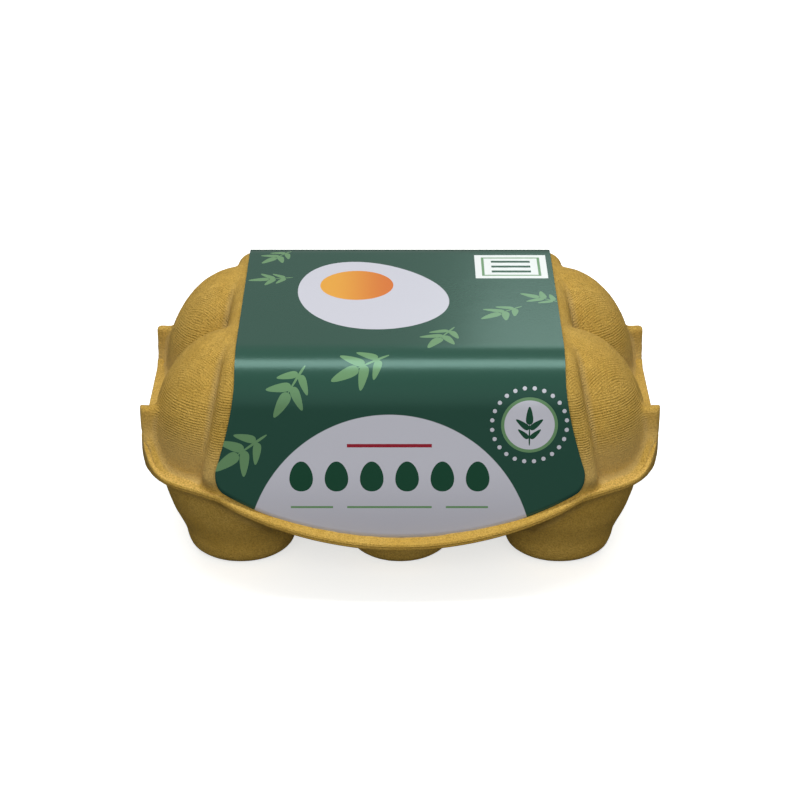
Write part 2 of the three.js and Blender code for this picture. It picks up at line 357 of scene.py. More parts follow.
# Moulded paper pulp, dyed mustard and air-dried: fully matt, slightly mottled, with short fibres.
# The mould's wire, woven about 0.7 mm apart, leaves level rows on the flanks and fine dots near each crown.
PULP_MID = "#D0A84C"
PULP_PALE = "#DAB45B"
PULP_DEEP = "#A98437"
# Painted light: a paler, greyer tone that offsets the shade in the hollows; it also greys the low steep
# flanks
PULP_LIGHTENED_GREY = "#CBAF76"
# Painted light: a paler tone for the level flange, standing in for light that the domes shade from it
PULP_PAINTED_LIGHT_FLANGE = "#EBC368"
FLANGE_LOW_Z = 29
FLANGE_HIGH_Z = 36
LOW_FLANK_FROM_Z = 50
LOW_FLANK_TO_Z = 37
WIRE_FROM_Z = 36
WIRE_TO_Z = 47
RIB_FACE_X = 72.5
WIRE_SPACING = 0.7
STITCH_SPACING = 1.3
WIRE_DRIFT = 1.4
DRIFT_WIDTH = 14.286
PATCH_WIDTH = 2.857
FIBRE_LENGTH = 0.9
GRAIN_WIDTH = 0.4545
MOTTLE_WIDTH = 14
FIBRE_RELIEF = 1.6
GRAIN_RELIEF = 3.2
WIRE_RELIEF = 1.3
RELIEF_DEPTH = 0.12

pulp, tree = new_material("moulded_paper_pulp_matt")
place = add_node(tree, "TexCoord").outputs["Object"]
place = add_node(
    tree, "VectorMath", {0: place, 1: (1 / MM, 1 / MM, 1 / MM)}, operation="MULTIPLY").outputs[0]
axes = add_node(tree, "SeparateXYZ", {0: place})
x, y, z = axes.outputs
up = add_node(tree, "NewGeometry").outputs["Normal"]
up = add_node(tree, "SeparateXYZ", {0: up}).outputs["Z"]
hollow = add_node(tree, "Attribute", attribute_name="hollow").outputs["Fac"]
mottle, fibres, grain, drift, patches = [
    add_node(
        tree, "TexNoise",
        {"Vector": place, "Scale": 1 / width, "Detail": detail, "Roughness": roughness}).outputs["Fac"]
    for width, detail, roughness in (
        (MOTTLE_WIDTH, 4, 0.6), (FIBRE_LENGTH, 3, 0.65), (GRAIN_WIDTH, 2, 0.6), (DRIFT_WIDTH, 3, 0.5),
        (PATCH_WIDTH, 3, 0.5),
    )
]

# Level wire lines, pushed out of true by a slow noise and crossed by the stitches
level = add_node(tree, "Math", {0: drift, 1: WIRE_DRIFT, 2: z}, operation="MULTIPLY_ADD").outputs[0]
side_x = add_node(tree, "Math", {0: x}, operation="ABSOLUTE").outputs[0]
side_y = add_node(tree, "Math", {0: y}, operation="ABSOLUTE").outputs[0]
across = add_node(tree, "Math", {0: side_x, 1: side_y}, operation="SUBTRACT").outputs[0]
waves = []
for along, spacing in (
    (level, WIRE_SPACING), (across, STITCH_SPACING), (x, WIRE_SPACING), (y, WIRE_SPACING),
):
    phase = add_node(tree, "Math", {0: along, 1: math.tau / spacing}, operation="MULTIPLY").outputs[0]
    waves.append(add_node(tree, "Math", {0: phase}, operation="SINE").outputs[0])
rows, stitch, wave_x, wave_y = waves
stitch = add_node(tree, "Math", {0: stitch, 1: 0.3, 2: 0.7}, operation="MULTIPLY_ADD").outputs[0]

# Each mask rises smoothly from the first value to the second
masks = []
for value, start, end in (
    (up, 0.62, 0.36), (up, 0.4, 0.6), (z, WIRE_FROM_Z, WIRE_TO_Z), (side_x, RIB_FACE_X, RIB_FACE_X - 1.5),
    (up, 0.7, 0.92), (z, FLANGE_LOW_Z - 3, FLANGE_LOW_Z + 2), (z, FLANGE_HIGH_Z + 2, FLANGE_HIGH_Z - 2),
    (z, LOW_FLANK_FROM_Z, LOW_FLANK_TO_Z),
):
    masks.append(add_node(
        tree, "MapRange", {"Value": value, "From Min": start, "From Max": end},
        interpolation_type="SMOOTHSTEP").outputs[0])
steep, crown, above_flange, off_ribs, flat, flange_up, flange_down, low_flank = masks
patches = add_node(
    tree, "MapRange", {"Value": patches, "From Min": 0.34, "From Max": 0.54, "To Min": 0.4}).outputs[0]

# Lines on the flanks, woven dots where the surface lies nearly level, both in broken patches
lined = rows
for mask in (stitch, steep, above_flange, patches, off_ribs):
    lined = add_node(tree, "Math", {0: lined, 1: mask}, operation="MULTIPLY").outputs[0]
dotted = wave_x
for mask in (wave_y, crown, above_flange, patches):
    dotted = add_node(tree, "Math", {0: dotted, 1: mask}, operation="MULTIPLY").outputs[0]
woven = add_node(tree, "Math", {0: dotted, 1: 0.8, 2: lined}, operation="MULTIPLY_ADD").outputs[0]
relief = add_node(tree, "Math", {0: fibres, 1: FIBRE_RELIEF}, operation="MULTIPLY").outputs[0]
relief = add_node(tree, "Math", {0: grain, 1: GRAIN_RELIEF, 2: relief}, operation="MULTIPLY_ADD").outputs[0]
relief = add_node(tree, "Math", {0: woven, 1: WIRE_RELIEF, 2: relief}, operation="MULTIPLY_ADD").outputs[0]
bump = add_node(tree, "Bump", {"Height": relief, "Strength": 1.0, "Distance": RELIEF_DEPTH * MM}).outputs[0]

# Colour: mottled, with painted light making the level flange palest, stippled, with painted light making the
# hollows paler and greyer, and greyer on the low steep flanks
# Painted light: faces lying level at flange height are made paler, as if more lit
painted_light_flange = add_node(tree, "Math", {0: flange_up, 1: flange_down}, operation="MULTIPLY").outputs[0]
painted_light_flange = add_node(tree, "Math", {0: painted_light_flange, 1: flat}, operation="MULTIPLY").outputs[0]
blotch, speck, stipple, in_hollow, above_rim = [
    add_node(
        tree, "MapRange", {"Value": value, "From Min": start, "From Max": end, "To Max": most}).outputs[0]
    for value, start, end, most in (
        (mottle, 0.3, 0.7, 1), (fibres, 0.5, 0.3, 0.4), (grain, 0.6, 0.36, 0.64), (hollow, 0.3, 1.3, 0.42),
        (z, 32, 35, 0.38),
    )
]
for mask in (above_rim, steep):
    low_flank = add_node(tree, "Math", {0: low_flank, 1: mask}, operation="MULTIPLY").outputs[0]
# Painted light in the hollows, paler and greyer to offset their shade; the low steep flanks are only made
# greyer
hollow_light_and_grey_flank = add_node(tree, "Math", {0: in_hollow, 1: low_flank}, operation="MAXIMUM").outputs[0]
colour = add_node(tree, "RGB").outputs[0]
colour.default_value = linear(PULP_MID)
for mask, dye in (
    (blotch, PULP_PALE), (painted_light_flange, PULP_PAINTED_LIGHT_FLANGE), (speck, PULP_DEEP), (stipple, PULP_DEEP),
    (hollow_light_and_grey_flank, PULP_LIGHTENED_GREY),
):
    colour = add_node(tree, "MixRGB", {"Fac": mask, "Color1": colour, "Color2": linear(dye)}).outputs[0]
shader = add_node(
    tree, "BsdfPrincipled",
    {"Base Color": colour, "Roughness": 0.93, "Specular IOR Level": 0.25, "Normal": bump}).outputs[0]
add_node(tree, "OutputMaterial", {"Surface": shader})

tray.data.materials.clear()
tray.data.materials.append(pulp)
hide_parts("tray")
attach(tray, "root")


# Lid: the upper half, with a dome over each corner egg and a raised flat panel between them.
# It is the same dyed pulp as the tray. A rib at each dome stiffens the ends, and a flange meets the tray's.
LID_TOP_Z = 69.2
FOLD_RADIUS = 15.2
FOLD_CENTRE = (35.2, 54.0)
FOLD_LEAN = math.radians(11.6)
PANEL_HALF_WIDTH = 50.8
PANEL_EDGE_RADIUS = 5.2
PANEL_FLARE = math.radians(11.4)
PANEL_FOOT_Z = 12
FOLD_SEGMENTS = 20
EDGE_SEGMENTS = 6
DOME_PLACE = (48.4, 24.0)
DOME_SIZE = (24.3, 24.0, 32.7)
DOME_SPRING_Z = 36
DOME_SKIRT = 0.15
DOME_SEGMENTS = (72, 48)
RIB_Y = 29.4
RIB_INNER_X = 58
RIB_STANDS_OUT = 0.2
RIB_FOOT_INSET = 0.8
RIB_FOOT_TOP_Z = 38.2
RIB_SECTION = [
    (1.7, 47.7), (1.9, 44.5), (2.3, 41.2), (3.5, 38.2), (5.6, 35.8), (8.3, 33.6), (10.8, 32.3),
    (13.5, 31.6), (14, 30),
]

# Rings of the flange as (inset, rise, rise in front), of its lip as (inset, rise), and of the lip's
# underside as (share, drop)
SKIRT_RINGS = [(0.7, -0.1, -0.1), (3, 0.4, 0.3), (6, 1, 1)]
LID_LIP_RINGS = [
    (2.8, -0.3), (1.7, -0.02), (0.9, 0.04), (0.4, -0.05), (0.12, -0.2), (0, -0.45), (0, -0.8),
]
LID_LIP_UNDERSIDE = [(0, -0.4), (0.002, -0.12), (0.006, 0), (0.028, 0)]

# The foot of the panel, where it runs into the flange, then what all the lid's solids share
PANEL_FOOT_INSET = 1.6
PANEL_FOOT_SPREAD = 0.6
PANEL_FOOT_CUT_Z = 35.5
PANEL_FOOT_CUTS_X = range(-48, 49, 4)
LID_FOOT_RISE = 0.4
SKIRT_TOP_Z = 37
LID_VOXEL = 0.78

bm = bmesh.new()
lid_lip = add_ring_body(
    bm, [meeting_ring(0.009, -0.06)] + [rim_ring(*ring) for ring in SKIRT_RINGS],
    MEETING_CENTRE_Z, SKIRT_TOP_Z)


def foot_height(x, y):
    """Where the lid's solids end, just above the surface where it meets the tray."""
    return float(meeting_height(x, y)) + LID_FOOT_RISE


def keep_above_meeting(verts):
    """Nothing of the lid's solids reaches down into the tray."""
    for vert in verts:
        vert.co.z = max(vert.co.z, foot_height(vert.co.x, vert.co.y))


def keep_inside_rim(vert, lift):
    """Low on the box nothing of the panel stands out past the rim."""
    angle = math.atan2(vert.co.y, vert.co.x)
    rim = float(rim_radius(angle))
    above = max(0, vert.co.z - float(rim_height(rim * math.cos(angle), rim * math.sin(angle))))
    limit = rim - PANEL_FOOT_INSET + PANEL_FOOT_SPREAD * above + lift
    reach = math.hypot(vert.co.x, vert.co.y)
    if reach > limit:
        vert.co.x *= limit / reach
        vert.co.y *= limit / reach


def panel_half_size(height):
    """The panel's half length and half width at a height, before its edges are rounded."""
    half_x = PANEL_HALF_WIDTH + (LID_TOP_Z - PANEL_EDGE_RADIUS - height) * math.tan(PANEL_FLARE)
    at_spring = FOLD_CENTRE[0] + FOLD_RADIUS / math.cos(FOLD_LEAN)
    return Vector((half_x, at_spring + (FOLD_CENTRE[1] - height) * math.tan(FOLD_LEAN)))


# The panel is a tapered block whose long top edges are rolled over, then its two ends are rounded
block = bmesh.ops.create_cube(bm, size=2)["verts"]
for vert in block:
    height = LID_TOP_Z if vert.co.z > 0 else PANEL_FOOT_Z
    half_x, half_y = panel_half_size(height)
    vert.co = (math.copysign(half_x, vert.co.x), math.copysign(half_y, vert.co.y), height)
rolled = [
    edge for edge in {edge for vert in block for edge in vert.link_edges}
    if all(vert.co.z > LID_TOP_Z - 0.1 for vert in edge.verts)
    and abs(edge.verts[0].co.y - edge.verts[1].co.y) < 0.1
]
bevelled = bmesh.ops.bevel(
    bm, geom=rolled, affect="EDGES", offset=FOLD_RADIUS * math.tan((math.pi / 2 - FOLD_LEAN) / 2),
    offset_type="OFFSET", segments=FOLD_SEGMENTS, profile=0.5, material=-1)["verts"]
ends = [
    face for face in {face for vert in bevelled for face in vert.link_faces}
    if abs(face.normal.x) > 0.9 and len(face.verts) > 4
]
rounded = {
    edge for face in ends for edge in face.edges if max(vert.co.z for vert in edge.verts) > PANEL_FOOT_Z + 1
}
bmesh.ops.bevel(
    bm, geom=list(rounded), affect="EDGES",
    offset=PANEL_EDGE_RADIUS * math.tan((math.pi / 2 - PANEL_FLARE) / 2),
    offset_type="OFFSET", segments=EDGE_SEGMENTS, profile=0.5, material=-1)

# Its foot is cut across in steps, slid up its leaning faces to the flange, and kept inside the rim
foot_faces = {face for vert in bm.verts for face in vert.link_faces if vert.co.z < PANEL_FOOT_Z + 1}
foot_faces |= {near for face in foot_faces for edge in face.edges for near in edge.link_faces}
foot_edges = {edge for face in foot_faces for edge in face.edges}
foot_verts = {vert for face in foot_faces for vert in face.verts}
bmesh.ops.bisect_plane(
    bm, geom=list(foot_faces | foot_edges | foot_verts), plane_co=(0, 0, PANEL_FOOT_CUT_Z),
    plane_no=(0, 0, 1))
for cut_x in PANEL_FOOT_CUTS_X:
    foot_edges = {edge for vert in bm.verts if vert.co.z < PANEL_FOOT_Z + 1 for edge in vert.link_edges}
    foot_faces = {face for edge in foot_edges for face in edge.link_faces}
    foot_verts = {vert for edge in foot_edges for vert in edge.verts}
    bmesh.ops.bisect_plane(
        bm, geom=list(foot_faces | foot_edges | foot_verts), plane_co=(cut_x, 0, 0), plane_no=(1, 0, 0))
foot_size = panel_half_size(PANEL_FOOT_Z)
for vert in [vert for vert in bm.verts if vert.co.z < PANEL_FOOT_Z + 1]:
    share_x = vert.co.x / foot_size.x
    share_y = vert.co.y / foot_size.y
    for step in range(8):
        half_x, half_y = panel_half_size(vert.co.z)
        x, y = share_x * half_x, share_y * half_y
        vert.co = (x, y, foot_height(x, y))
    keep_inside_rim(vert, 0)

# Four domes, each with a rib drawn out from its flank to the rim
for side in (-1, 1):
    for depth in (-1, 1):
        dome = bmesh.ops.create_uvsphere(
            bm, u_segments=DOME_SEGMENTS[0], v_segments=DOME_SEGMENTS[1], radius=1)["verts"]
        for vert in dome:
            vert.co.x = vert.co.x * DOME_SIZE[0] + side * DOME_PLACE[0]
            vert.co.y = vert.co.y * DOME_SIZE[1] + depth * DOME_PLACE[1]
            vert.co.z = max(vert.co.z, -DOME_SKIRT) * DOME_SIZE[2] + DOME_SPRING_Z
        keep_above_meeting(dome)
        outline = [*RIB_SECTION, *[(-y, z) for y, z in reversed(RIB_SECTION)]]
        corners = [bm.verts.new((side * RIB_INNER_X, depth * RIB_Y + y, z)) for y, z in outline]
        section = bm.faces.new(corners)
        drawn = bmesh.ops.extrude_face_region(bm, geom=[section])["geom"]
        drawn = [part for part in drawn if isinstance(part, bmesh.types.BMVert)]
        for vert in drawn:
            past_rim = RIB_STANDS_OUT if vert.co.z > RIB_FOOT_TOP_Z else -RIB_FOOT_INSET
            vert.co.x = side * (np.interp(abs(vert.co.y), QUARTER_Y, QUARTER_X) + past_rim)
        keep_above_meeting(corners + drawn)
lid = mesh_object("lid_moulding", bm)
fuse(lid, LID_VOXEL)
soften(lid, lid_lip, passes=3, hollow_passes=10)

# The lip climbs with the foot of each rib
from_rib = np.abs(np.abs(RIM_Y) - RIB_Y)
rib_foot = np.interp(from_rib, [y for y, z in RIB_SECTION], [z for y, z in RIB_SECTION], right=0)
climb = np.maximum(0, np.minimum(rib_foot, RIB_FOOT_TOP_Z) - RIM_Z)
lip_rings = [rim_ring(inset, climb + rise, climb + rise) for inset, rise in LID_LIP_RINGS]
lip_rings += [meeting_ring(share, drop) for share, drop in LID_LIP_UNDERSIDE]
add_lip(lid, lip_rings)

lid.data.materials.clear()
lid.data.materials.append(pulp)
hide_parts("lid")
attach(lid, "root")


# Label: one sheet of coated paper, printed dark green, varnished, and glued over the lid from back to front.
# It is cut with rounded lower corners, and its lower edge follows the dip of the rim.
SHEET_LIFT = 0.75
SHEET_THICKNESS = 0.35
SHEET_HALF_WIDTH = 46.7
FLARE_FROM_Z = 64
SHEET_FLARE = 0.045
SHEET_FLARE_POWER = 1.5
SHEET_CORNER_RADIUS = 5
SHEET_ABOVE_RIM = 0.7
SHEET_BACK_Z = 36
SHEET_COLUMNS = 96
SHEET_ROWS = 160
UV_SPAN = 200
SHEET_RADIUS = FOLD_RADIUS + SHEET_LIFT
FLAT_END = FOLD_CENTRE[0]
FOLD_TURN = math.pi / 2 - FOLD_LEAN
FOLD_END = FLAT_END + SHEET_RADIUS * FOLD_TURN
SHEET_FRONT_FOOT_Z = 25


def sheet_point(along):
    """Distance from the middle and height of the sheet, that far along it from the middle of its top."""
    if along <= FLAT_END:
        return along, LID_TOP_Z + SHEET_LIFT
    turn = min((along - FLAT_END) / SHEET_RADIUS, FOLD_TURN)
    beyond = max(along - FOLD_END, 0)
    return (
        FLAT_END + SHEET_RADIUS * math.sin(turn) + beyond * math.sin(FOLD_LEAN),
        FOLD_CENTRE[1] + SHEET_RADIUS * math.cos(turn) - beyond * math.cos(FOLD_LEAN),
    )


def sheet_half_width(height):
    """Half the sheet's width at a height: it flares towards its lower corners."""
    return SHEET_HALF_WIDTH + SHEET_FLARE * max(0, FLARE_FROM_Z - height) ** SHEET_FLARE_POWER


def sheet_end(share, front):
    """How far along the sheet its lower edge lies, at a share of its half width."""
    foot_z = sheet_point(FOLD_END)[1]
    flat = sheet_half_width(SHEET_FRONT_FOOT_Z if front else SHEET_BACK_Z)
    x = abs(share) * flat
    height = RIM_FRONT_Z + RIM_FRONT_CURVE * x * x + SHEET_ABOVE_RIM if front else SHEET_BACK_Z
    into_corner = max(0, x - (flat - SHEET_CORNER_RADIUS))
    height += SHEET_CORNER_RADIUS - math.sqrt(max(0, SHEET_CORNER_RADIUS ** 2 - into_corner ** 2))
    return FOLD_END + (foot_z - height) / math.cos(FOLD_LEAN)


bm = bmesh.new()
bmesh.ops.create_grid(bm, x_segments=SHEET_COLUMNS, y_segments=SHEET_ROWS, size=1)
uv = bm.loops.layers.uv.new("sheet")
flat_place = {}
for vert in bm.verts:
    share = math.sin(vert.co.x * math.pi / 2)
    front = vert.co.y < 0
    along = abs(vert.co.y) * sheet_end(share, front)
    distance, height = sheet_point(along)
    x = share * sheet_half_width(height)
    flat_place[vert.index] = (0.5 + x / UV_SPAN, 0.5 + (-along if front else along) / UV_SPAN)
    vert.co = (x, -distance if front else distance, height)
    keep_inside_rim(vert, SHEET_LIFT)
bm.verts.index_update()
for face in bm.faces:
    for loop in face.loops:
        loop[uv].uv = flat_place[loop.vert.index]
bmesh.ops.recalc_face_normals(bm, faces=bm.faces)
if sum(f.normal.z for f in bm.faces) < 0:
    bmesh.ops.reverse_faces(bm, faces=bm.faces)
bmesh.ops.solidify(bm, geom=bm.faces, thickness=SHEET_THICKNESS)
bmesh.ops.scale(bm, verts=bm.verts, vec=(MM, MM, MM))
sheet_mesh = bpy.data.meshes.new("label_sheet")
bm.to_mesh(sheet_mesh)
bm.free()
label = bpy.data.objects.new("label_sheet", sheet_mesh)
bpy.context.scene.collection.objects.link(label)
for face in sheet_mesh.polygons:
    face.use_smooth = True

# Coated paper, offset printed and varnished: a satin gloss over flat inks, and the pulp's unevenness shows
# faintly through. Each printed shape has its middle and half size in millimetres on the flat sheet, and some
# a turn in degrees.
INK_GREEN = "#2A4E41"
INK_PALE = "#D0D0DA"
# Painted shade: the grey that the pale field turns towards its lower edge
PALE_WITH_PAINTED_SHADE = "#B8B8C2"
INK_WHITE = "#EEF1F0"
INK_LEAF = "#6C9468"
INK_DARK = "#1F4A36"
INK_RED = "#9C2233"
INK_SUN = "#E9A63A"
INK_SUN_LOW = "#D9752A"
SPRIGS = [
    ((30, -12), 8, 128), ((12, -30), 8.5, 152), ((-11, -45), 9.5, 118), ((-31, -52), 9, 150),
    ((-45, -70), 9.5, 125), ((-39, 14), 7, 100), ((-38, 32), 7, 140), ((42, -1), 7, 60), ((37, 64), 8, 40),
    ((-37, 62), 8, -30),
]
SPRIG_LEAVES = [
    ((0.34, 0.12), (0.13, 0.4), -52), ((0.3, -0.36), (0.11, 0.34), -48), ((0, -0.35), (0.035, 0.6), 0),
]
LEAF_TAPER = 0.45
EGG_WHITE = ((-9, 2), (21.5, 27), 24, 0.12)
YOLK = ((-13, 9), (11, 11.5))
YOLK_SHADED_X = (-22, -2)
TAG_PLACE = (34, 24)
TAG_FIELDS = [((11, 9.5), INK_WHITE), ((9, 7.5), INK_LEAF), ((8.2, 6.7), INK_WHITE)]
TAG_RULE = (6, 0.8)
RING_PLACE = (36.5, -62)
RING_RADIUS = 10.6
RING_DOTS = 24
RING_DOT_RADIUS = 0.6
DISC_RADIUS = 8
DISC_INNER_RADIUS = 7.1
DISC_SPRIG = 5.8
FIELD = ((-3, -102), (41, 43))
FIELD_SHADED_Y = (-72, -96)
FIELD_TOP_RULE = ((-3, -68), (12, 0.5))
FIELD_EGGS_X = range(-28, 23, 10)
FIELD_EGGS_Y = -77
FIELD_EGG = (3.3, 4.4)
FIELD_EGG_TAPER = 0.16
FIELD_RULES = [((-25, -86), (6, 0.3)), ((-3, -86), (12, 0.3)), ((19, -86), (6, 0.3))]
BACK_PANEL = ((0, 64.5), (25, 9))
BACK_RULE = (16, 0.5)
SKIN_WIDTH = 1.111
SAG_WIDTH = 16.667
SAG_RELIEF = 4
LABEL_RELIEF_DEPTH = 0.014

paper, tree = new_material("coated_label_paper_satin")
flat = add_node(tree, "UVMap", uv_map="sheet").outputs[0]
sheet = add_node(
    tree, "Mapping", {"Vector": flat, "Location": (0.5, 0.5, 0), "Scale": (1 / UV_SPAN, 1 / UV_SPAN, 1)},
    vector_type="TEXTURE").outputs[0]

egg = bpy.data.node_groups.new("egg_shape", "ShaderNodeTree")
egg.interface.new_socket("Vector", in_out="INPUT", socket_type="NodeSocketVector")
egg.interface.new_socket("Taper", in_out="INPUT", socket_type="NodeSocketFloat")
egg.interface.new_socket("Inside", in_out="OUTPUT", socket_type="NodeSocketFloat")
given = egg.nodes.new("NodeGroupInput")
axes = add_node(egg, "SeparateXYZ", {0: given.outputs["Vector"]})
narrow = add_node(
    egg, "Math", {0: axes.outputs["Y"], 1: given.outputs["Taper"], 2: 1.0},
    operation="MULTIPLY_ADD").outputs[0]
spread = add_node(egg, "Math", {0: axes.outputs["X"], 1: narrow}, operation="MULTIPLY").outputs[0]
round_x = add_node(egg, "Math", {0: spread, 1: 2.0}, operation="POWER").outputs[0]
round_xy = add_node(
    egg, "Math", {0: axes.outputs["Y"], 1: axes.outputs["Y"], 2: round_x},
    operation="MULTIPLY_ADD").outputs[0]
inside = add_node(egg, "MapRange", {"Value": round_xy, "From Min": 1.004, "From Max": 0.996}).outputs[0]
result = egg.nodes.new("NodeGroupOutput")
egg.links.new(inside, result.inputs["Inside"])


def egg_mask(tree, point, centre, half_size, turn=0.0, taper=0.0):
    """Where an egg shape lies: its centre and half size in millimetres, its turn in degrees."""
    own = add_node(
        tree, "Mapping",
        {"Vector": point, "Location": (*centre, 0), "Rotation": (0, 0, math.radians(turn)),
         "Scale": (*half_size, 1)},
        vector_type="TEXTURE").outputs[0]
    return add_node(tree, "Group", {"Vector": own, "Taper": taper}, node_tree=egg).outputs[0]


sprig = bpy.data.node_groups.new("leaf_sprig", "ShaderNodeTree")
sprig.interface.new_socket("Vector", in_out="INPUT", socket_type="NodeSocketVector")
sprig.interface.new_socket("Inside", in_out="OUTPUT", socket_type="NodeSocketFloat")
given = sprig.nodes.new("NodeGroupInput").outputs["Vector"]
axes = add_node(sprig, "SeparateXYZ", {0: given})
folded_x = add_node(sprig, "Math", {0: axes.outputs["X"]}, operation="ABSOLUTE").outputs[0]
mirrored = add_node(sprig, "CombineXYZ", {"X": folded_x, "Y": axes.outputs["Y"]}).outputs[0]
shape = egg_mask(sprig, mirrored, (0, 0.55), (0.16, 0.45), 0, LEAF_TAPER)
for centre, size, turn in SPRIG_LEAVES:
    leaf = egg_mask(sprig, mirrored, centre, size, turn, LEAF_TAPER)
    shape = add_node(sprig, "Math", {0: shape, 1: leaf}, operation="MAXIMUM").outputs[0]
result = sprig.nodes.new("NodeGroupOutput")
sprig.links.new(shape, result.inputs["Inside"])


def sprig_mask(centre, size, turn):
    """Where a sprig lies: a stalk with a leaf at its tip and two pairs of leaves below."""
    own = add_node(
        tree, "Mapping",
        {"Vector": sheet, "Location": (*centre, 0), "Rotation": (0, 0, math.radians(turn)),
         "Scale": (size, size, 1)},
        vector_type="TEXTURE").outputs[0]
    return add_node(tree, "Group", {"Vector": own}, node_tree=sprig).outputs[0]


def print_over(colour, mask, ink):
    """The colour with an ink over it where the mask is 1."""
    return add_node(tree, "MixRGB", {"Fac": mask, "Color1": colour, "Color2": linear(ink)}).outputs[0]


def dot_ring_mask(centre, radius, count, dot_radius):
    """Small dots set evenly on a circle."""
    own = add_node(
        tree, "Mapping", {"Vector": sheet, "Location": (*centre, 0)}, vector_type="TEXTURE").outputs[0]
    axes = add_node(tree, "SeparateXYZ", {0: own})
    turn = add_node(
        tree, "Math", {0: axes.outputs["Y"], 1: axes.outputs["X"]}, operation="ARCTAN2").outputs[0]
    step = math.tau / count
    nearest = add_node(tree, "Math", {0: turn, 1: step}, operation="SNAP").outputs[0]
    past = add_node(tree, "Math", {0: turn, 1: nearest}, operation="SUBTRACT").outputs[0]
    off_dot = add_node(
        tree, "Math", {0: past, 1: radius, 2: -step * radius / 2}, operation="MULTIPLY_ADD").outputs[0]
    from_centre = add_node(tree, "VectorMath", {0: own}, operation="LENGTH").outputs["Value"]
    off_circle = add_node(tree, "Math", {0: from_centre, 1: radius}, operation="SUBTRACT").outputs[0]
    apart = add_node(tree, "CombineXYZ", {"X": off_dot, "Y": off_circle}).outputs[0]
    apart = add_node(tree, "VectorMath", {0: apart}, operation="LENGTH").outputs["Value"]
    return add_node(tree, "Math", {0: apart, 1: dot_radius}, operation="LESS_THAN").outputs[0]


def bar_mask(centre, half_size):
    """Where an upright rectangle lies."""
    own = add_node(
        tree, "Mapping", {"Vector": sheet, "Location": (*centre, 0), "Scale": (*half_size, 1)},
        vector_type="TEXTURE").outputs[0]
    axes = add_node(tree, "SeparateXYZ", {0: own})
    across = add_node(tree, "Math", {0: axes.outputs["X"]}, operation="ABSOLUTE").outputs[0]
    along = add_node(tree, "Math", {0: axes.outputs["Y"]}, operation="ABSOLUTE").outputs[0]
    furthest = add_node(tree, "Math", {0: across, 1: along}, operation="MAXIMUM").outputs[0]
    return add_node(tree, "Math", {0: furthest, 1: 1.0}, operation="LESS_THAN").outputs[0]


colour = add_node(tree, "RGB").outputs[0]
colour.default_value = linear(INK_GREEN)
for centre, size, turn in SPRIGS:
    colour = print_over(colour, sprig_mask(centre, size, turn), INK_LEAF)

# An opened egg on the top: a tilted white with a yolk that deepens towards one side
colour = print_over(colour, egg_mask(tree, sheet, *EGG_WHITE), INK_PALE)
axes = add_node(tree, "SeparateXYZ", {0: sheet})
deeper = add_node(
    tree, "MapRange",
    {"Value": axes.outputs["X"], "From Min": YOLK_SHADED_X[0], "From Max": YOLK_SHADED_X[1]},
    interpolation_type="SMOOTHSTEP").outputs[0]
yolk_ink = print_over(linear(INK_SUN), deeper, INK_SUN_LOW)
yolk = egg_mask(tree, sheet, *YOLK)
colour = add_node(tree, "MixRGB", {"Fac": yolk, "Color1": colour, "Color2": yolk_ink}).outputs[0]

# A white tag with a green frame and rules
for half_size, ink in TAG_FIELDS:
    colour = print_over(colour, bar_mask(TAG_PLACE, half_size), ink)
for rise in (4, 0, -4):
    colour = print_over(colour, bar_mask((TAG_PLACE[0], TAG_PLACE[1] + rise), TAG_RULE), INK_DARK)

# A ring of dots round a pale disc with a sprig in it
dots = dot_ring_mask(RING_PLACE, RING_RADIUS, RING_DOTS, RING_DOT_RADIUS)
colour = print_over(colour, dots, INK_PALE)
for radius, ink in ((DISC_RADIUS, INK_LEAF), (DISC_INNER_RADIUS, INK_PALE)):
    colour = print_over(colour, egg_mask(tree, sheet, RING_PLACE, (radius, radius)), ink)
colour = print_over(colour, sprig_mask((RING_PLACE[0], RING_PLACE[1] - 0.5), DISC_SPRIG, 0), INK_DARK)

# A pale field, with painted shade greying it towards the lower edge that cuts it off, and six eggs in a row
# between rules
lower = add_node(
    tree, "MapRange",
    {"Value": axes.outputs["Y"], "From Min": FIELD_SHADED_Y[0], "From Max": FIELD_SHADED_Y[1]},
    interpolation_type="SMOOTHSTEP").outputs[0]
field_ink_and_shade = print_over(linear(INK_PALE), lower, PALE_WITH_PAINTED_SHADE)
field = egg_mask(tree, sheet, *FIELD)
colour = add_node(tree, "MixRGB", {"Fac": field, "Color1": colour, "Color2": field_ink_and_shade}).outputs[0]
colour = print_over(colour, bar_mask(*FIELD_TOP_RULE), INK_RED)
for middle in FIELD_EGGS_X:
    small_egg = egg_mask(tree, sheet, (middle, FIELD_EGGS_Y), FIELD_EGG, 0, FIELD_EGG_TAPER)
    colour = print_over(colour, small_egg, INK_DARK)
for centre, half_size in FIELD_RULES:
    colour = print_over(colour, bar_mask(centre, half_size), INK_LEAF)

# The back carries a plain white panel with rules
colour = print_over(colour, bar_mask(*BACK_PANEL), INK_WHITE)
for row in range(4):
    colour = print_over(colour, bar_mask((-6 + 2 * (row % 2), 70 - 3.7 * row), BACK_RULE), INK_DARK)

